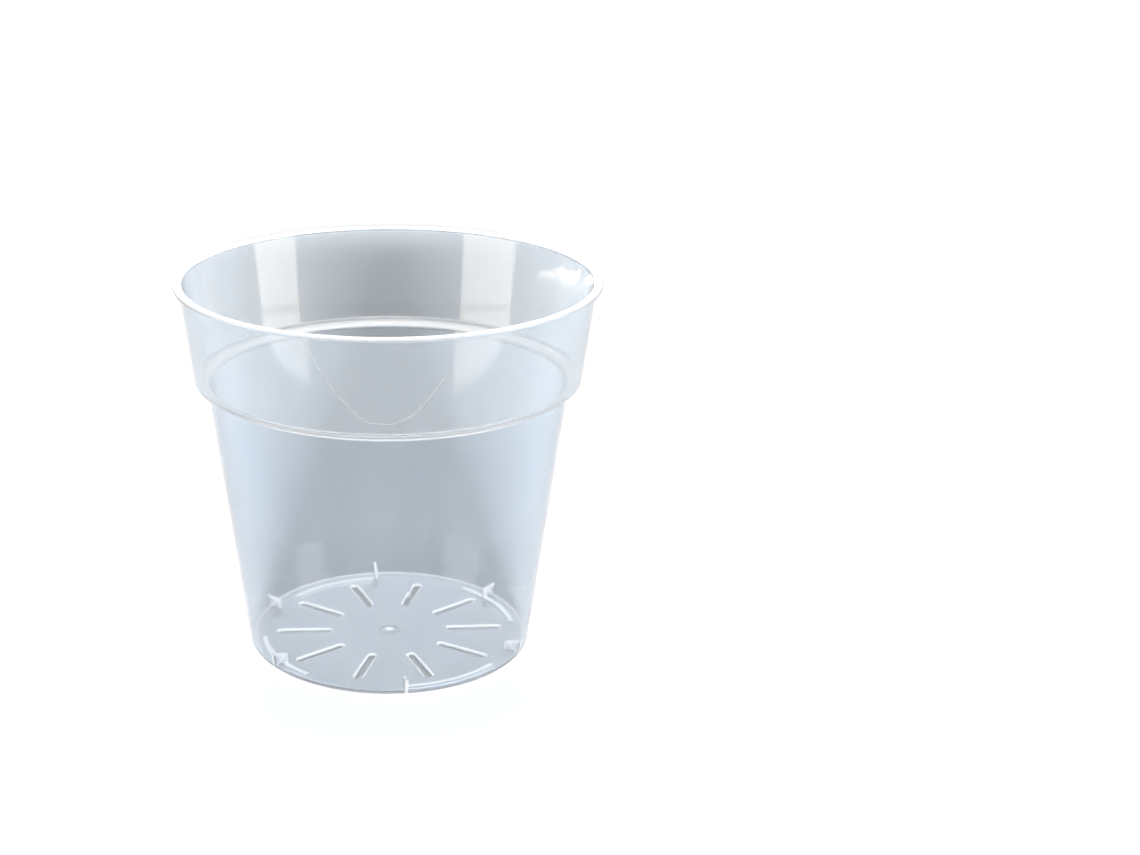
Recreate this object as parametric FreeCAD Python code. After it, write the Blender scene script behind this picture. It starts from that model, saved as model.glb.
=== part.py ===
import FreeCAD, Part

import math
import os

os.makedirs("parts", exist_ok=True)

# A clear orchid pot, moulded in one piece. Millimetres, Z up, origin on the axis at the
# plane that the pot stands on. The wall is a tapered body, a ledge, a wider collar and a
# flat lip; the floor has radial slots, corner gussets inside and low arc feet below.

# overall sizes
lip_radius = 100.0
total_height = 183.0
ledge_height = 135.2
foot_height = 1.0

# outer face of the wall, each radius taken where two faces would meet sharp
base_radius = 68.4
body_top_radius = 85.4
collar_bottom_radius = 91.2
collar_top_radius = 97.0

# thicknesses
wall_thickness = 1.4
floor_thickness = 1.5
lip_thickness = 1.5
ledge_thickness = 1.5

# corners of the wall: one round at the foot of the body, and a bevel, given by its leg, elsewhere
base_corner_radius = 2.0
floor_corner_bevel = 0.7
ledge_inner_bevel = 0.7
collar_foot_bevel = 1.1
ledge_shoulder_bevel = 1.6
lip_edge_bevel = 0.4
mouth_edge_bevel = 0.4

# drainage slots in the floor
slot_count = 10
slot_width = 3.6
slot_inner_tip = 28.6
slot_outer_tip = 55.6
slot_edge_bevel = 0.4

# gussets that stiffen the corner between floor and wall
gusset_count = 6
gusset_first_angle = 34.5
gusset_thickness = 1.5
gusset_inner_radius = 60.5
gusset_inner_height = 5.0
gusset_wall_height = 6.4
gusset_corner_radius = 1.5

# low arc feet that hold the slots off the shelf
arc_foot_count = 4
arc_foot_first_angle = 5.5
arc_foot_sweep = 44.0
arc_foot_inner_radius = 60.6
arc_foot_width = 2.4

# gate mark in the middle of the underside
gate_dimple_radius = 4.8
gate_dimple_depth = 0.4
gate_nub_radius = 1.1
gate_nub_height = 0.3

full_turn = 360.0
up = FreeCAD.Vector(0, 0, 1)
centre = FreeCAD.Vector(0, 0, 0)

# heights and radii that follow from the values above
floor_under = foot_height
floor_top = floor_under + floor_thickness
ledge_top = ledge_height + ledge_thickness
lip_under = total_height - lip_thickness


def body_radius(z):
    """Outer radius of the tapered body at height z."""
    share = (z - floor_under) / (ledge_height - floor_under)
    return base_radius + (body_top_radius - base_radius) * share


def collar_radius(z):
    """Outer radius of the collar at height z."""
    share = (z - ledge_height) / (lip_under - ledge_height)
    return collar_bottom_radius + (collar_top_radius - collar_bottom_radius) * share


def wall_across(lower_radius, upper_radius, height):
    """Wall thickness measured level, for a wall that leans outward."""
    lean = math.atan2(upper_radius - lower_radius, height)
    return wall_thickness / math.cos(lean)


body_wall = wall_across(base_radius, body_top_radius, ledge_height - floor_under)
collar_wall = wall_across(collar_bottom_radius, collar_top_radius, lip_under - ledge_height)


def point(r, z):
    """A point of a half section, at radius r and height z."""
    return FreeCAD.Vector(r, 0, z)


def sharp(r, z):
    """Corner of a section that stays sharp."""
    return point(r, z), 0, 0


def bevelled(r, z, leg):
    """Corner cut off straight, this far along each side."""
    return point(r, z), leg, 0


def rounded(r, z, radius):
    """Corner rounded by an arc tangent to both sides."""
    return point(r, z), 0, radius


def section(corners):
    """Closed face of a half section, from corners given in order round it."""
    count = len(corners)
    cuts = []
    for index, (here, leg, radius) in enumerate(corners):
        back = corners[index - 1][0].sub(here).normalize()
        ahead = corners[(index + 1) % count][0].sub(here).normalize()
        half_angle = back.getAngle(ahead) / 2
        reach = leg + radius / math.tan(half_angle)
        inward = radius / math.sin(half_angle) - radius
        middle = here + (back + ahead).normalize() * inward
        cuts.append((here + back * reach, middle, here + ahead * reach))
    edges = []
    for index, (first, middle, last) in enumerate(cuts):
        if corners[index][2] > 0:
            edges.append(Part.Arc(first, middle, last).toShape())
        elif corners[index][1] > 0:
            edges.append(Part.makeLine(first, last))
        edges.append(Part.makeLine(last, cuts[(index + 1) % count][0]))
    return Part.Face(Part.Wire(edges))


def wall_section():
    """Half section of the whole moulding, from the gate mark round the lip and back to the axis."""
    mouth_radius = collar_radius(lip_under) - collar_wall
    dimple_top = floor_under + gate_dimple_depth
    nub_end = dimple_top - gate_nub_height
    outside = [
        sharp(0, nub_end),
        sharp(gate_nub_radius, nub_end),
        sharp(gate_nub_radius, dimple_top),
        sharp(gate_dimple_radius, dimple_top),
        sharp(gate_dimple_radius, floor_under),
        rounded(base_radius, floor_under, base_corner_radius),
        bevelled(body_top_radius, ledge_height, ledge_inner_bevel),
        bevelled(collar_bottom_radius, ledge_height, collar_foot_bevel),
        sharp(collar_top_radius, lip_under),
        bevelled(lip_radius, lip_under, lip_edge_bevel),
        bevelled(lip_radius, total_height, lip_edge_bevel),
    ]
    inside = [
        bevelled(mouth_radius, total_height, mouth_edge_bevel),
        sharp(collar_radius(ledge_top) - collar_wall, ledge_top),
        bevelled(body_radius(ledge_top) - body_wall, ledge_top, ledge_shoulder_bevel),
        bevelled(body_radius(floor_top) - body_wall, floor_top, floor_corner_bevel),
        sharp(0, floor_top),
    ]
    return section(outside + inside)


def turned(shape, angle):
    """Copy of a shape turned about the axis of the pot."""
    copy = shape.copy()
    copy.rotate(centre, up, angle)
    return copy


def ring_of(shape, count, first_angle):
    """Equally spaced copies of a shape about the axis."""
    return [turned(shape, first_angle + index * full_turn / count) for index in range(count)]


def slot_cutter():
    """Long round-ended prism that opens one slot through the floor."""
    half = slot_width / 2
    low = floor_under - floor_thickness
    near = slot_inner_tip + half
    far = slot_outer_tip - half
    corners = [FreeCAD.Vector(near, -half, low), FreeCAD.Vector(far, -half, low)]
    corners += [FreeCAD.Vector(far, half, low), FreeCAD.Vector(near, half, low)]
    outer_end = Part.Arc(corners[1], FreeCAD.Vector(slot_outer_tip, 0, low), corners[2])
    inner_end = Part.Arc(corners[3], FreeCAD.Vector(slot_inner_tip, 0, low), corners[0])
    sides = [Part.makeLine(corners[0], corners[1]), Part.makeLine(corners[2], corners[3])]
    outline = Part.Wire([sides[0], outer_end.toShape(), sides[1], inner_end.toShape()])
    return Part.Face(outline).extrude(up * (floor_thickness * 3))


def slot_rims(shape):
    """Edges where the slots break the upper and lower faces of the floor."""
    rims = []
    for edge in shape.Edges:
        box = edge.BoundBox
        level = box.ZLength < floor_thickness / 10
        on_face = min(abs(box.ZMin - floor_under), abs(box.ZMin - floor_top)) < floor_thickness / 10
        middle = edge.valueAt((edge.FirstParameter + edge.LastParameter) / 2)
        reach = math.hypot(middle.x, middle.y)
        in_band = slot_inner_tip - slot_width < reach < slot_outer_tip + slot_width / 2
        if level and on_face and in_band:
            rims.append(edge)
    return rims


def gusset():
    """One upright web across the corner of floor and wall."""
    low = floor_top - floor_thickness / 2
    wall_top = floor_top + gusset_wall_height
    inner_top = floor_top + gusset_inner_height
    embed = body_wall / 2
    profile = [
        sharp(gusset_inner_radius, low),
        sharp(body_radius(low) - embed, low),
        sharp(body_radius(wall_top) - embed, wall_top),
        rounded(gusset_inner_radius, inner_top, gusset_corner_radius),
    ]
    web = section(profile).extrude(FreeCAD.Vector(0, gusset_thickness, 0))
    web.translate(FreeCAD.Vector(0, -gusset_thickness / 2, 0))
    return web


def arc_foot():
    """One low arc foot, turned about the axis through its sweep."""
    outer = arc_foot_inner_radius + arc_foot_width
    top = floor_under + floor_thickness / 2
    profile = [
        sharp(arc_foot_inner_radius, 0),
        sharp(outer, 0),
        sharp(outer, top),
        sharp(arc_foot_inner_radius, top),
    ]
    return section(profile).revolve(centre, up, arc_foot_sweep)


def build_pot():
    """The whole moulding: turned wall and floor, slots cut and bevelled, gussets and feet added."""
    pot = wall_section().revolve(centre, up, full_turn)
    pot = pot.cut(ring_of(slot_cutter(), slot_count, 0))
    pot = pot.makeChamfer(slot_edge_bevel, slot_rims(pot))
    webs = ring_of(gusset(), gusset_count, gusset_first_angle)
    feet = ring_of(arc_foot(), arc_foot_count, arc_foot_first_angle)
    return pot.fuse(webs + feet).removeSplitter().Solids[0]


build_pot().exportStep("parts/pot.step")
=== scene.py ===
import math

import bmesh
import bpy
import numpy as np
from mathutils import Matrix, Vector


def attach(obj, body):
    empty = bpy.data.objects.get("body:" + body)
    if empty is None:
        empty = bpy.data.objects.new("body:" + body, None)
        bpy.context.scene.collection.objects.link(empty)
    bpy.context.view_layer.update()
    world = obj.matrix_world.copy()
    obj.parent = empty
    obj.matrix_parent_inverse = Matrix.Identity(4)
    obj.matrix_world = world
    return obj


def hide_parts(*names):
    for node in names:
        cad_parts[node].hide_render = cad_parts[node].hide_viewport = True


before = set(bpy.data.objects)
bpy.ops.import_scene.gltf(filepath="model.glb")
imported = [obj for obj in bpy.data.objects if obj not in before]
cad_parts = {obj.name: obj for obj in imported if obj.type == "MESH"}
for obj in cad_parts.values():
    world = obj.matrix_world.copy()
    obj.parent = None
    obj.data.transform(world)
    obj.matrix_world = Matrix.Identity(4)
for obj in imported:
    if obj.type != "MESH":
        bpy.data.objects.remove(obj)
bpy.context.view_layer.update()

# The clear orchid pot: one moulded skin on a pale studio floor. Lengths of the pot are in
# millimetres until its mesh is made; the camera and the studio are in metres.
MM = 0.001

# the wall: outer radii where two faces would meet sharp, heights, and thicknesses. FOOT is
# the height of the arc feet, so the underside of the floor lies there.
RIM_R, TOP_Z, LEDGE_Z, FOOT = 100.0, 183.0, 135.2, 1.0
BASE_R, BODY_R, COLLAR_LOW_R, COLLAR_HIGH_R = 68.4, 85.4, 91.2, 97.0
WALL, FLOOR, LIP, LEDGE = 1.4, 1.5, 1.5, 1.5
FLOOR_Z = FOOT + FLOOR
LEDGE_TOP = LEDGE_Z + LEDGE
LIP_UNDER = TOP_Z - LIP

# drainage slots, each in its share of the floor between two rings
INNER_RING, OUTER_RING = 25.6, 58.5
SLOTS, SLOT_PITCH = 10, 36
SLOT_IN, SLOT_OUT, SLOT_HALF, SLOT_EDGE = 28.6, 55.6, 1.8, 0.5

# gussets in the corner of floor and wall, and arc feet below it, with their angles in degrees
WEB_R, WEB_HALF, WEB_LOW, WEB_HIGH = 60.5, 0.75, 5.0, 6.4
WEB_ROUND, WEB_EDGE = 1.5, 0.3
FOOT_IN, FOOT_OUT, FOOT_SWEEP = 60.6, 63.0, 44.0
FOOT_ROUND, FOOT_EDGE = 0.3, 0.3
WEBS = 34.5 + 60 * np.arange(6)
FEET = 5.5 + 90 * np.arange(4)
WEB_TOP = FLOOR_Z + WEB_HIGH

# gate mark in the middle of the underside
GATE_DEPTH = 0.4

# mesh: the inset halfway round an edge, the inset of a line that runs over no gusset or foot,
# the strip beside a corner, degrees kept clear beside a gusset and a foot's end, and numbers
# of points across the floor corner and a foot
HALFWAY, BARE, BESIDE = 0.09, -1, 0.4
WEB_ROOM, FOOT_ROOM = 0.95, 0.45
CORNER_POINTS, FOOT_POINTS = 28, 13
WELD, SHARP_ANGLE = 2e-6, 34

# how strongly each stretch of the skin scatters light, from 0 where it is polished to 1 on a
# tight corner: the wall's inside and outside, its outside level with the gussets, the floor,
# the wall behind a gusset, the floor over a foot, faces of gussets and feet, tight corners
INNER, OUTER, LOW, BED = 0.0, 0.08, 0.11, 0.08
ROOT, THICK, SIDE, EDGE = 0.7, 0.85, 0.9, 1.0

WARM, NEAR_WHITE = (1.0, 0.84, 0.69), (1.0, 0.96, 0.91)
LIGHT_BOUNCES = 24


def place_camera():
    """Camera where the photograph was taken from, with its lens and its off-centre frame."""
    data = bpy.data.cameras.new("camera")
    data.sensor_width = 36
    data.lens = 59.894
    data.shift_x, data.shift_y = 0.15965, 0.01763
    data.clip_start, data.clip_end = 0.05, 100
    cam = bpy.data.objects.new("camera", data)
    cam.location = (-0.03011, -0.85453, 0.41434)
    cam.rotation_euler = [math.radians(a) for a in (69.71691, 0.25533, -2.09457)]
    bpy.context.scene.collection.objects.link(cam)
    bpy.context.scene.camera = cam


def body_r(z):
    """Outer radius of the tapered body at a height: straight from foot to ledge."""
    return BASE_R + (BODY_R - BASE_R) * (z - FOOT) / (LEDGE_Z - FOOT)


def collar_r(z):
    """Outer radius of the collar at a height: straight from ledge to the underside of the lip."""
    return COLLAR_LOW_R + (COLLAR_HIGH_R - COLLAR_LOW_R) * (z - LEDGE_Z) / (LIP_UNDER - LEDGE_Z)


# the wall's thickness measured level, for each of its two slopes
BODY_WALL = WALL / math.cos(math.atan2(BODY_R - BASE_R, LEDGE_Z - FOOT))
COLLAR_WALL = WALL / math.cos(math.atan2(COLLAR_HIGH_R - COLLAR_LOW_R, LIP_UNDER - LEDGE_Z))


def rounded_path(corners, steps=8, rests=(0.25, 1.2)):
    """Points (r, z, scatter) of an open section with its corners rounded. corners holds
    (r, z, radius, scatter on the corner, scatter on the straight after it).
    With unit directions a and b from a corner to its neighbours and half angle h between
    them, the arc's centre is corner + (a+b)/|a+b| * radius/sin h, and it turns from the
    corner + a * radius/tan h to the corner + b * radius/tan h. Rest points a little before
    and after each arc keep the shading of the straights their own."""
    first, last = corners[0], corners[-1]
    pts = [np.array([[first[0], first[1], first[3]]], float)]
    for before, here, after in zip(corners, corners[1:], corners[2:]):
        p, rad = np.array(here[:2], float), here[2]
        a, b = np.array(before[:2]) - p, np.array(after[:2]) - p
        la, lb = np.linalg.norm(a), np.linalg.norm(b)
        a, b = a / la, b / lb
        half = 0.5 * math.acos(float(np.clip(a @ b, -1, 1)))
        reach = rad / math.tan(half)
        centre = p + (a + b) / np.linalg.norm(a + b) * rad / math.sin(half)
        u, v = p + a * reach - centre, p + b * reach - centre
        turn = math.atan2(u[0] * v[1] - u[1] * v[0], float(u @ v))
        t = np.linspace(0, turn, steps + 1)[:, None]
        arc = centre + u * np.cos(t) + np.array([-u[1], u[0]]) * np.sin(t)
        lead = [p + a * (reach + d) for d in rests[::-1] if reach + d < 0.45 * la]
        tail = [p + b * (reach + d) for d in rests if reach + d < 0.45 * lb]
        for part, scatter in ((lead, before[4]), (arc, here[3]), (tail, here[4])):
            part = np.array(part).reshape(-1, 2)
            pts.append(np.column_stack([part, np.full(len(part), scatter)]))
    pts.append(np.array([[last[0], last[1], last[3]]], float))
    return np.concatenate(pts)


def spaced(path, count):
    """A polyline's points again, count of them, evenly spaced along its length."""
    run = np.concatenate([[0], np.cumsum(np.linalg.norm(np.diff(path[:, :2], axis=0), axis=1))])
    s = np.linspace(0, run[-1], count)
    return np.stack([np.interp(s, run, column) for column in path.T], 1)


def upright_lines():
    """The skin's upright lines in turning order, as rows: angle, level offset across a
    gusset's plane, how far the gusset's outline is let in there (BARE off a gusset), and the
    same for an arc foot. At a gusset's faces and a foot's ends two lines share one place,
    one on the bare wall and one on the gusset or foot, and the quads between are its side."""
    plain = np.arange(0, 360, 1.0)
    to_web = np.abs((plain[:, None] - WEBS + 180) % 360 - 180).min(1)
    past = (plain[:, None] - FEET) % 360
    to_end = np.minimum(np.abs(past), np.abs(past - FOOT_SWEEP)).min(1)
    keep = (to_web > WEB_ROOM) & (to_end > FOOT_ROOM)
    on_foot = (past < FOOT_SWEEP).any(1)
    rows = [(a, 0, BARE, 0 if f else BARE) for a, f in zip(plain[keep], on_foot[keep])]
    # shares of a gusset's half thickness, each with its inset
    rise = ((1.0, BARE), (1.0, WEB_EDGE), (0.88, HALFWAY), (0.6, 0.0))
    for w in WEBS:
        foot = 0 if ((w - FEET) % 360 < FOOT_SWEEP).any() else BARE
        rows += [(w, -WEB_HALF * k, inset, foot) for k, inset in rise]
        rows += [(w, WEB_HALF * k, inset, foot) for k, inset in rise[::-1]]
    # degrees in from a foot's end, each with its inset
    rise = ((0.0, BARE), (0.0, FOOT_EDGE), (0.1, HALFWAY), (0.3, 0.0))
    for f in FEET:
        rows += [(f + a, 0, BARE, inset) for a, inset in rise]
        rows += [(f + FOOT_SWEEP - a, 0, BARE, inset) for a, inset in rise[::-1]]
    table = np.array(rows, float)
    angle = table[:, 0] + np.degrees(np.arcsin(table[:, 1] / WEB_R))
    return table[np.argsort(np.round(angle % 360, 6), kind="stable")]


def corner_run():
    """Inside of the floor corner, and the gusset outlines that stand in for it: from the
    gusset's inner end on the floor to its top on the wall, let in by each edge step."""
    wall = body_r(WEB_TOP) - BODY_WALL
    bare = rounded_path([
        (WEB_R, FLOOR_Z, 0, BED, BED),
        (body_r(FLOOR_Z) - BODY_WALL, FLOOR_Z, 1.0, 0.5, INNER),
        (wall, WEB_TOP, 0, INNER, INNER),
    ])
    webs = {}
    for inset in (0.0, HALFWAY, WEB_EDGE):
        outline = rounded_path([
            (WEB_R, FLOOR_Z, 0, SIDE, SIDE),
            (WEB_R + inset, FLOOR_Z + WEB_LOW - inset, WEB_ROUND - inset, SIDE, SIDE),
            (wall, WEB_TOP - inset, 0, SIDE, SIDE),
        ], steps=6, rests=())
        webs[inset] = spaced(outline, CORNER_POINTS)
    return spaced(bare, CORNER_POINTS), webs


def foot_run():
    """Underside where the feet stand, bare and with the foot's outline let in by each step."""
    bare = spaced(np.array([(FOOT_OUT, FOOT, BED), (FOOT_IN, FOOT, BED)]), FOOT_POINTS)
    feet = {}
    for inset in (0.0, HALFWAY, FOOT_EDGE):
        outline = rounded_path([
            (FOOT_OUT, FOOT, 0, SIDE, SIDE),
            (FOOT_OUT, inset, FOOT_ROUND, SIDE, SIDE),
            (FOOT_IN, inset, FOOT_ROUND, SIDE, SIDE),
            (FOOT_IN, FOOT, 0, SIDE, SIDE),
        ], steps=4, rests=())
        feet[inset] = spaced(outline, FOOT_POINTS)
    return bare, feet


def wall_run():
    """Section from the gussets' tops up the inside, over the lip, down the outside and under
    to the feet, and the number of its first point level with the gussets on the outside.
    Each corner below is named together with the straight that follows it."""
    path = rounded_path([
        (body_r(WEB_TOP) - BODY_WALL, WEB_TOP, 0, INNER, INNER),
        # inside: shoulder and ledge, foot of the collar and collar
        (body_r(LEDGE_TOP) - BODY_WALL, LEDGE_TOP, 2.6, 0.55, 0.18),
        (collar_r(LEDGE_TOP) - COLLAR_WALL, LEDGE_TOP, 1.2, 0.3, INNER),
        # lip: mouth and top, upper edge and rim, lower edge and underside
        (collar_r(LIP_UNDER) - COLLAR_WALL, TOP_Z, 0.6, EDGE, EDGE),
        (RIM_R, TOP_Z, 0.55, 0.45, 0.8),
        (RIM_R, LIP_UNDER, 0.55, 0.2, 0.15),
        # outside: collar, foot of the collar and ledge, body, base and floor
        (COLLAR_HIGH_R, LIP_UNDER, 0.5, 0.16, 0.14),
        (COLLAR_LOW_R, LEDGE_Z, 2.3, 0.5, 0.8),
        (BODY_R, LEDGE_Z, 2.7, 0.6, OUTER),
        (BASE_R, FOOT, 2.0, 0.35, BED),
        (FOOT_OUT, FOOT, 0, BED, BED),
    ])[1:-1]
    low = int(np.argmax((path[:, 0] > path[:, 1]) & (path[:, 1] < WEB_TOP)))
    rows = [[body_r(z), z, LOW] for z in (WEB_TOP + BESIDE, WEB_TOP)]
    return np.insert(path, low, rows, axis=0), low + 1


def turned(rz, angle):
    """Section points (r, z, scatter) turned to their angles: (r cos t, r sin t, z, scatter)."""
    r, z, scatter = np.moveaxis(rz, -1, 0)
    return np.stack([r * np.cos(angle), r * np.sin(angle), z, scatter], -1)


def wall_skin(table, angle):
    """Grid of upright line by section point. Where a line runs over a gusset, the angle
    changes with the radius so that the point keeps its level offset from the gusset's plane,
    angle = gusset + asin(offset / r), and the gusset's faces come out flat. The floor over a
    foot and the wall behind a gusset are thick, so they scatter more."""
    n = len(table)

    def on_each_line(points):
        return np.broadcast_to(points, (n,) + np.shape(points))

    corner, webs = corner_run()
    under, feet = foot_run()
    path, low = wall_run()
    corner, under, wall = (on_each_line(points).copy() for points in (corner, under, path))
    for inset, outline in webs.items():
        corner[table[:, 2] == inset] = outline
    for inset, outline in feet.items():
        under[table[:, 3] == inset] = outline
    on_floor = corner[..., 1] < FLOOR_Z + 0.01
    over_foot = (corner[..., 0] > FOOT_IN) & (corner[..., 0] < FOOT_OUT) & on_floor
    corner[over_foot & (table[:, 3:4] >= 0), 2] = THICK
    behind = (table[:, 2] >= 0) & (np.abs(table[:, 1]) < 0.9 * WEB_HALF)
    wall[np.ix_(behind, np.arange(low, path.shape[0]), [2])] = ROOT
    above = WEB_TOP + BESIDE
    start = on_each_line([[OUTER_RING, FLOOR_Z, BED], [WEB_R - BESIDE, FLOOR_Z, BED]])
    over = on_each_line([[body_r(above) - BODY_WALL, above, INNER]])
    before = on_each_line([[FOOT_OUT + BESIDE, FOOT, BED]])
    end = on_each_line([[FOOT_IN - BESIDE, FOOT, BED], [OUTER_RING, FOOT, BED]])
    rz = np.concatenate([start, corner, over, wall, before, under, end], 1)
    t = np.broadcast_to(angle[:, None], rz.shape[:2]).copy()
    span = slice(start.shape[1], start.shape[1] + corner.shape[1])
    t[:, span] = np.radians(table[:, :1]) + np.arcsin(table[:, 1:2] / rz[:, span, 0])
    return turned(rz, t)


def disc_skin(angle, path):
    """Round plate or stepped disc: section points turned about the axis on the same lines."""
    rz = np.broadcast_to(np.array(path, float), (len(angle), len(path), 3))
    return turned(rz, np.broadcast_to(angle[:, None], rz.shape[:2]))


def slot_skin(angle, middle):
    """Skin of one slot's tenth of the floor. u runs round the tenth's outline B(u), an outer
    arc, a straight, an inner arc and a straight, and at the same time round the slot's
    outline S(u) with normal N(u). v blends from B to S + e N, rolls over a quarter round
    S + e N (1 - sin w), z = top - e (1 - cos w), and comes back the same way below."""
    off = (angle - math.radians(middle) + math.pi) % (2 * math.pi) - math.pi
    half = math.radians(SLOT_PITCH / 2)
    off = np.sort(off[np.abs(off) <= half + 1e-9])
    swing = math.pi * (off / (2 * half))
    sides = np.linspace(0, 1, 13)[1:-1, None]
    one = np.ones_like(sides)

    def around(a):
        return np.stack([np.cos(a), np.sin(a)], -1)

    near, far = SLOT_IN + SLOT_HALF, SLOT_OUT - SLOT_HALF
    radial = OUTER_RING + (INNER_RING - OUTER_RING) * sides
    straight = far + (near - far) * sides
    border = np.concatenate([
        OUTER_RING * around(off),
        radial * around(half * one[:, 0]),
        INNER_RING * around(off[::-1]),
        radial[::-1] * around(-half * one[:, 0]),
    ])
    normal = np.concatenate([
        around(swing),
        np.hstack([0 * one, one]),
        around(math.pi + swing),
        np.hstack([0 * one, -one]),
    ])
    outline = np.concatenate([
        [far, 0] + SLOT_HALF * around(swing),
        np.hstack([straight, SLOT_HALF * one]),
        [near, 0] + SLOT_HALF * around(math.pi + swing),
        np.hstack([straight[::-1], -SLOT_HALF * one]),
    ])
    blend = np.array([0, 0.45, 0.8, 0.95])
    w = np.linspace(0, math.pi / 2, 6)
    rim = outline + SLOT_EDGE * normal
    flat = border[:, None] * (1 - blend)[:, None] + rim[:, None] * blend[:, None]
    roll = outline[:, None] + normal[:, None] * (SLOT_EDGE * (1 - np.sin(w)))[:, None]
    drop = SLOT_EDGE * (1 - np.cos(w))
    xy = np.concatenate([flat, roll, roll[:, ::-1], flat[:, ::-1]], 1)
    level = np.ones(len(blend))
    z = np.concatenate([FLOOR_Z * level, FLOOR_Z - drop, (FOOT + drop)[::-1], FOOT * level])
    scatter = np.concatenate([BED * level, np.full(2 * len(w), EDGE), BED * level])
    c, s = math.cos(math.radians(middle)), math.sin(math.radians(middle))
    x, y = xy[..., 0] * c - xy[..., 1] * s, xy[..., 0] * s + xy[..., 1] * c
    return np.stack([x, y, np.broadcast_to(z, x.shape), np.broadcast_to(scatter, x.shape)], -1)


def grid_faces(first, wide, tall):
    """Quads of a grid that closes on itself and is stored line by line, as vertex numbers."""
    c, j = np.arange(wide), np.arange(tall - 1)
    a = first + (c[:, None] * tall + j)
    b = first + (((c + 1) % wide)[:, None] * tall + j)
    return np.stack([a, b, b + 1, a + 1], -1).reshape(-1, 4)


def pot_skin():
    """The whole moulding as one closed skin: the wall, the two discs inside the ring of slots
    and the ten slots, joined where they meet and turned to face outwards. The scatter value
    goes with every point as the attribute edge_light."""
    table = upright_lines()
    angle = np.radians(table[:, 0]) + np.arcsin(table[:, 1] / WEB_R)
    # underside with the gate mark, a dimple with a nub in it, and the middle of the floor
    step = FOOT + GATE_DEPTH
    gate = [(INNER_RING, FOOT, BED), (12, FOOT, BED), (5.4, FOOT, BED), (4.95, FOOT, BED),
            (4.8, FOOT + 0.06, 0.25), (4.7, FOOT + 0.34, 0.25), (4.5, step, BED), (2.6, step, BED),
            (1.8, step, EDGE), (1.15, step - 0.04, EDGE), (1.1, FOOT + 0.14, EDGE),
            (0.9, FOOT + 0.1, EDGE), (0, FOOT + 0.1, EDGE)]
    bed = [(INNER_RING, FLOOR_Z, BED), (18, FLOOR_Z, BED), (10, FLOOR_Z, BED),
           (2.4, FLOOR_Z, BED), (1.5, FLOOR_Z, SIDE), (0, FLOOR_Z, EDGE)]
    grids = [wall_skin(table, angle), disc_skin(angle, gate), disc_skin(angle, bed)]
    grids += [slot_skin(angle, SLOT_PITCH * k) for k in range(SLOTS)]
    starts = np.cumsum([0] + [g.shape[0] * g.shape[1] for g in grids])
    points = np.concatenate([g.reshape(-1, 4) for g in grids])
    faces = np.concatenate([grid_faces(s, *g.shape[:2]) for s, g in zip(starts, grids)])
    mesh = bpy.data.meshes.new("pot_skin")
    mesh.from_pydata(points[:, :3] * MM, [], faces.tolist())
    scatter = mesh.attributes.new("edge_light", "FLOAT", "POINT")
    scatter.data.foreach_set("value", points[:, 3].astype("f"))
    skin = bmesh.new()
    skin.from_mesh(mesh)
    bmesh.ops.remove_doubles(skin, verts=skin.verts, dist=WELD)
    bmesh.ops.recalc_face_normals(skin, faces=skin.faces)
    skin.to_mesh(mesh)
    skin.free()
    mesh.shade_smooth()
    mesh.set_sharp_from_angle(angle=math.radians(SHARP_ANGLE))
    return mesh


def node(tree, kind, **settings):
    """New node with its settings: names of properties, or of inputs with _ for spaces."""
    made = tree.nodes.new(kind)
    for name, value in settings.items():
        if hasattr(made, name):
            setattr(made, name, value)
        else:
            made.inputs[name.replace("_", " ")].default_value = value
    return made


def flow_line(nt, where):
    """Faint flow mark on the front of the collar: a parabola z = lowest + bend * u * u, where u
    is the level distance from its middle, all in millimetres. The distance to it is the
    height above it over the square root of 1 + (2 bend u) squared, with a soft wander. It
    ends at a distance to the right, and front_y, in metres, keeps it off the back."""
    link = nt.links.new
    middle, lowest, bend, right_end, wander = -4.9, 142.5, 0.0332, 25.0, 3.2
    front_y = -0.05
    place = node(nt, "ShaderNodeSeparateXYZ")
    link(where.outputs["Object"], place.inputs[0])
    noise = node(nt, "ShaderNodeTexNoise", Scale=110.0, Detail=2.0)
    link(where.outputs["Object"], noise.inputs["Vector"])

    def math_node(operation, *values):
        made = node(nt, "ShaderNodeMath", operation=operation)
        for socket, value in zip(made.inputs, values):
            if isinstance(value, bpy.types.NodeSocket):
                link(value, socket)
            else:
                socket.default_value = value
        return made.outputs[0]

    u = math_node("MULTIPLY_ADD", place.outputs["X"], 1 / MM, -middle)
    square = math_node("MULTIPLY", u, u)
    height = math_node("MULTIPLY_ADD", place.outputs["Z"], 1 / MM, -lowest)
    above = math_node("MULTIPLY_ADD", square, -bend, height)
    shift = math_node("MULTIPLY_ADD", noise.outputs["Fac"], wander, -wander / 2)
    above = math_node("ADD", above, shift)
    steep = math_node("SQRT", math_node("MULTIPLY_ADD", square, 4 * bend * bend, 1.0))
    away = math_node("ABSOLUTE", math_node("DIVIDE", above, steep))
    line = node(nt, "ShaderNodeMapRange", From_Min=0.12, From_Max=0.5, To_Min=0.3, To_Max=0.0)
    link(away, line.inputs["Value"])
    in_front = math_node("LESS_THAN", place.outputs["Y"], front_y)
    front = math_node("MULTIPLY", line.outputs["Result"], in_front)
    return math_node("MULTIPLY", front, math_node("LESS_THAN", u, right_end))


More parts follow.
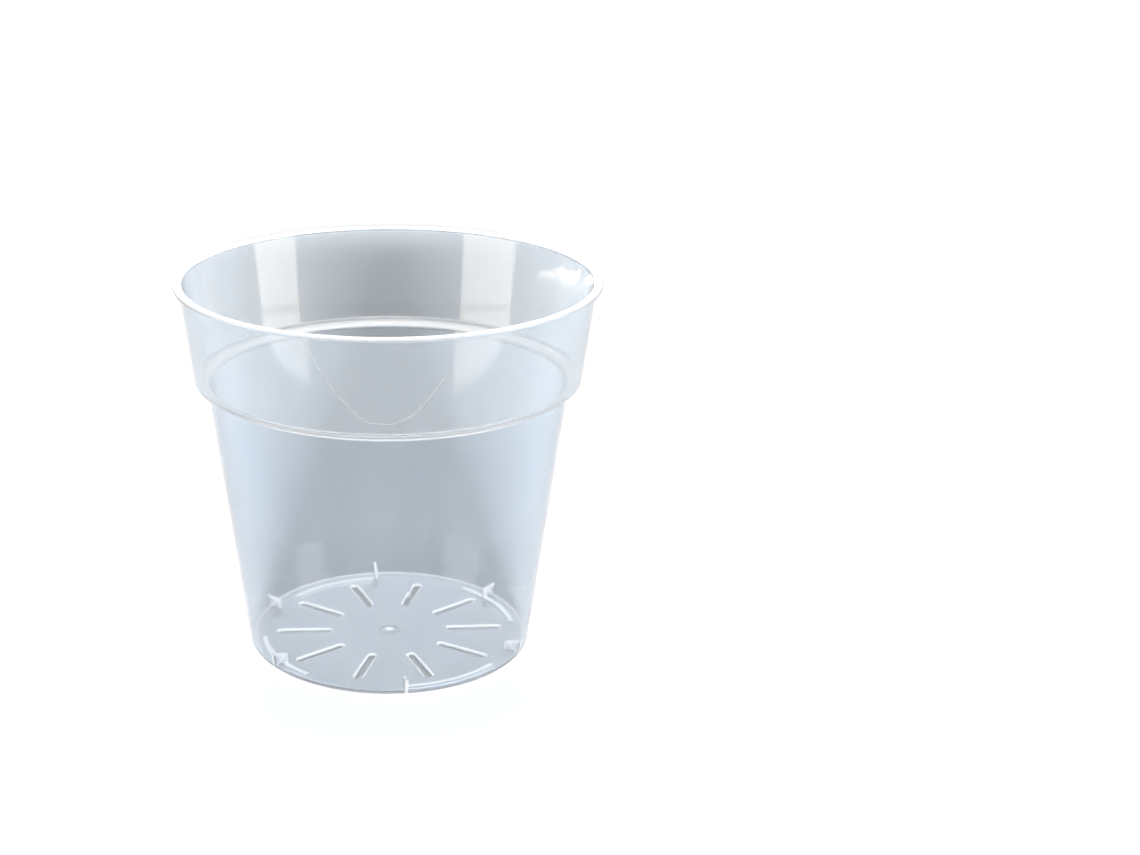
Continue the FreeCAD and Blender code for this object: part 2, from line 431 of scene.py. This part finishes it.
def clear_plastic():
    """Clear, faintly blue moulded plastic. The plain wall is nearly all see-through; tight
    corners and thick spots scatter light and look white, and light that runs along inside
    the wall takes on a little colour. The collar's tint is a shade paler and less blue than
    the body's: painted lightness that stands in for the brighter light on the collar's sides.
    Long soft waves of the moulding bend the reflections."""
    mat = bpy.data.materials.new("clear_plastic")
    mat.use_nodes = True
    nt = mat.node_tree
    link = nt.links.new
    p = nt.nodes["Principled BSDF"]
    out = nt.nodes["Material Output"]
    where = node(nt, "ShaderNodeTexCoord")
    skin = node(nt, "ShaderNodeAttribute", attribute_name="edge_light")
    edge = node(nt, "ShaderNodeMath", operation="MAXIMUM")
    link(skin.outputs["Fac"], edge.inputs[0])
    link(flow_line(nt, where), edge.inputs[1])

    # see-through share: less where the skin scatters, with a slight cloudiness
    cloud = node(nt, "ShaderNodeTexNoise", Scale=38.0, Detail=3.0, Roughness=0.55)
    squash = node(nt, "ShaderNodeMapping", Scale=(1.0, 1.0, 0.35))
    link(where.outputs["Object"], squash.inputs["Vector"])
    link(squash.outputs["Vector"], cloud.inputs["Vector"])
    haze = node(nt, "ShaderNodeMapRange", From_Min=0.3, From_Max=0.7, To_Min=-0.02, To_Max=0.02)
    link(cloud.outputs["Fac"], haze.inputs["Value"])
    clear = node(nt, "ShaderNodeMapRange", To_Min=0.97, To_Max=0.06)
    link(edge.outputs[0], clear.inputs["Value"])
    weight = node(nt, "ShaderNodeMath", operation="ADD", use_clamp=True)
    link(clear.outputs["Result"], weight.inputs[0])
    link(haze.outputs["Result"], weight.inputs[1])
    link(weight.outputs[0], p.inputs["Transmission Weight"])

    # tint: body, collar from the ledge up a shade paler as painted lightness for its brighter
    # sides, and the whitish corners
    place = node(nt, "ShaderNodeSeparateXYZ")
    link(where.outputs["Object"], place.inputs[0])
    upper = node(nt, "ShaderNodeMapRange", From_Min=0.125, From_Max=0.14)
    link(place.outputs["Z"], upper.inputs["Value"])
    wall = node(nt, "ShaderNodeMix", data_type="RGBA")
    wall.inputs["A"].default_value = (0.915, 0.962, 1.0, 1)
    # B: the collar's paler tint, painted lightness for the brighter light on its sides
    wall.inputs["B"].default_value = (0.95, 0.985, 1.0, 1)
    link(upper.outputs["Result"], wall.inputs["Factor"])
    tint = node(nt, "ShaderNodeMix", data_type="RGBA")
    link(wall.outputs["Result"], tint.inputs["A"])
    tint.inputs["B"].default_value = (0.95, 0.965, 0.98, 1)
    link(edge.outputs[0], tint.inputs["Factor"])
    link(tint.outputs["Result"], p.inputs["Base Color"])

    rough = node(nt, "ShaderNodeMapRange", To_Min=0.035, To_Max=0.22)
    link(edge.outputs[0], rough.inputs["Value"])
    link(rough.outputs["Result"], p.inputs["Roughness"])
    p.inputs["IOR"].default_value = 1.49

    # long soft waves
    wave = node(nt, "ShaderNodeTexNoise", Scale=16.0, Detail=1.0, Roughness=0.4)
    stretch = node(nt, "ShaderNodeMapping", Scale=(1.0, 1.0, 0.6))
    link(where.outputs["Object"], stretch.inputs["Vector"])
    link(stretch.outputs["Vector"], wave.inputs["Vector"])
    bump = node(nt, "ShaderNodeBump", Strength=0.2, Distance=0.0015)
    link(wave.outputs["Fac"], bump.inputs["Height"])
    link(bump.outputs["Normal"], p.inputs["Normal"])

    inside = node(nt, "ShaderNodeVolumeAbsorption", Density=110.0)
    inside.inputs["Color"].default_value = (0.25, 0.44, 0.67, 1)
    link(inside.outputs["Volume"], out.inputs["Volume"])
    return mat


def floor_sheet():
    """Flat pale floor, 12 m square, a tenth of a millimetre under the feet."""
    half, z = 6.0, -0.0001
    corners = [(-half, -half, z), (half, -half, z), (half, half, z), (-half, half, z)]
    mesh = bpy.data.meshes.new("floor")
    mesh.from_pydata(corners, [], [(0, 1, 2, 3)])
    mat = bpy.data.materials.new("floor_paper")
    mat.use_nodes = True
    p = mat.node_tree.nodes["Principled BSDF"]
    p.inputs["Base Color"].default_value = (0.97, 0.97, 0.97, 1)
    p.inputs["Roughness"].default_value = 1.0
    p.inputs["Specular IOR Level"].default_value = 0.0
    mesh.materials.append(mat)
    floor = bpy.data.objects.new("floor", mesh)
    bpy.context.scene.collection.objects.link(floor)
    return floor


def place_lamp(lamp, lights, shaded_by):
    """Put a lamp in the scene, with what it lights and what stands in its way."""
    for use, things in (("receiver", lights), ("blocker", shaded_by)):
        group = bpy.data.collections.new(lamp.name + "_" + use)
        for thing in things:
            group.objects.link(thing)
        setattr(lamp.light_linking, use + "_collection", group)
    bpy.context.scene.collection.objects.link(lamp)


def soft_box(name, place, aim, wide, tall, level, lights, shaded_by, along=None, tone=WARM):
    """Rectangular soft lamp at a place, facing another. level is the brightness of its face.
    Its width is level, or lies along the direction given."""
    data = bpy.data.lights.new(name, "AREA")
    data.shape = "RECTANGLE"
    data.size, data.size_y = wide, tall
    data.energy = level * math.pi * wide * tall
    data.color = tone
    box = bpy.data.objects.new(name, data)
    box.location = place
    back = Vector(place) - Vector(aim)
    if along is None:
        box.rotation_euler = back.to_track_quat("Z", "Y").to_euler()
    else:
        across = Vector(along).normalized()
        up = back.cross(across).normalized()
        box.rotation_euler = Matrix((across, up, across.cross(up))).transposed().to_euler()
    box.visible_camera = False
    place_lamp(box, lights, shaded_by)


def far_lamp(name, azimuth, elevation, spread, level, lights, shaded_by):
    """Distant soft lamp, with its angles in degrees. level is what it gives a white surface
    that faces it."""
    data = bpy.data.lights.new(name, "SUN")
    data.energy = level * math.pi
    data.angle = math.radians(spread)
    lamp = bpy.data.objects.new(name, data)
    a, e = math.radians(azimuth), math.radians(elevation)
    toward = Vector((math.cos(a) * math.cos(e), math.sin(a) * math.cos(e), math.sin(e)))
    lamp.rotation_euler = toward.to_track_quat("Z", "Y").to_euler()
    lamp.visible_glossy = lamp.visible_transmission = False
    place_lamp(lamp, lights, shaded_by)


def studio_world():
    """Studio light: white at the horizon, where floor and backdrop meet, and dimmer overhead."""
    world = bpy.data.worlds.new("studio")
    bpy.context.scene.world = world
    world.use_nodes = True
    nt = world.node_tree
    sky = nt.nodes["Background"]
    sky.inputs["Color"].default_value = (0.92, 0.96, 1, 1)
    where = node(nt, "ShaderNodeTexCoord")
    split = node(nt, "ShaderNodeSeparateXYZ")
    fade = node(nt, "ShaderNodeMapRange", interpolation_type="SMOOTHSTEP",
                From_Min=0.16, From_Max=0.5, To_Min=1.0, To_Max=0.15)
    nt.links.new(where.outputs["Generated"], split.inputs[0])
    nt.links.new(split.outputs["Z"], fade.inputs["Value"])
    nt.links.new(fade.outputs["Result"], sky.inputs["Strength"])


def studio_lamps(pot, floor):
    """Low key lamps in a row throw the shadow that shows through the wall, and light only the
    floor. The pot has its own lamps: a soft one from above, a box overhead for thin
    highlights, two side boxes that the inner wall mirrors as broad bands, two strips in one
    line that it mirrors as a streak, and a box behind that the pot's floor mirrors."""
    on_floor = {"lights": [floor], "shaded_by": [pot]}
    on_pot = {"lights": [pot], "shaded_by": [floor]}
    for number, azimuth in enumerate((-98, -95, -92, -89, -86)):
        far_lamp(f"key_lamp_{number}", azimuth, elevation=13.8, spread=3.0, level=0.61, **on_floor)
    far_lamp("floor_lamp", azimuth=90, elevation=82, spread=35, level=0.1, **on_floor)
    far_lamp("top_lamp", azimuth=-75, elevation=50, spread=50, level=0.95, **on_pot)
    soft_box("overhead_soft_box", (0.0, -0.35, 1.0), (0, 0, 0.14),
             wide=0.5, tall=0.12, level=9.0, **on_pot)
    soft_box("right_soft_box", (0.989, -0.367, 0.304), (0.369, -0.127, 0.254),
             wide=0.535, tall=0.74, level=2.3, **on_pot)
    soft_box("left_soft_box", (-0.965, -0.43, 0.304), (-0.345, -0.19, 0.254),
             wide=0.67, tall=0.74, level=2.2, **on_pot)
    streak = (0.09, 0.03, 0.172)
    soft_box("strip_lamp_low", (-0.744, 0.3575, 0.0705), streak,
             wide=0.29, tall=0.006, level=3.2, along=(0.118, 0.267, -0.021), **on_pot)
    soft_box("strip_lamp_high", (-0.55, 0.607, 0.044), streak,
             wide=0.36, tall=0.006, level=6.5, along=(0.342, 0.295, -0.04), **on_pot)
    soft_box("back_soft_box", (0.03, 2.5, 1.05), (0, 0, 0.1),
             wide=1.1, tall=0.80, level=2.8, lights=[pot, floor], shaded_by=[pot], tone=NEAR_WHITE)


place_camera()
pot = bpy.data.objects.new("pot_skin", pot_skin())
bpy.context.scene.collection.objects.link(pot)
pot.data.materials.append(clear_plastic())
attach(pot, "root")
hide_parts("pot")

floor = floor_sheet()
studio_world()
studio_lamps(pot, floor)

scene = bpy.context.scene
scene.view_settings.view_transform = "Standard"
scene.cycles.max_bounces = LIGHT_BOUNCES
scene.cycles.transmission_bounces = LIGHT_BOUNCES
